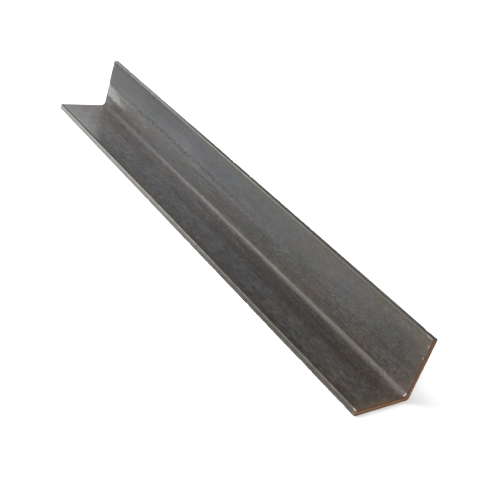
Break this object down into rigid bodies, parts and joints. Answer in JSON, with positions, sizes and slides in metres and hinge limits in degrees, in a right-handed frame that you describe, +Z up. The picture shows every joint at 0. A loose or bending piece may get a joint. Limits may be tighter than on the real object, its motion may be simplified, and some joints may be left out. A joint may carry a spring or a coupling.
{
  "type": "steel angle bar",
  "caption": "Length of hot-rolled steel angle with equal legs, a filleted root, rounded heel and toes and square-cut ends, for frames, edges, shelf supports and brackets.",
  "frame": {"origin": "on the underside of the flat leg, under the middle of the bar's box", "axes": "X along the bar; +Z up, the way the upright leg stands; the heel is at +Y and the flat leg's toe at -Y"},
  "size_m": [0.3, 0.035, 0.035],
  "materials": {
    "rolled_steel": "dark grey mill scale, satin, with a light rust bloom and rusty cut ends"
  },
  "bodies": {
    "root": {"angle_bar": "rolled_steel"}
  },
  "joints": []
}
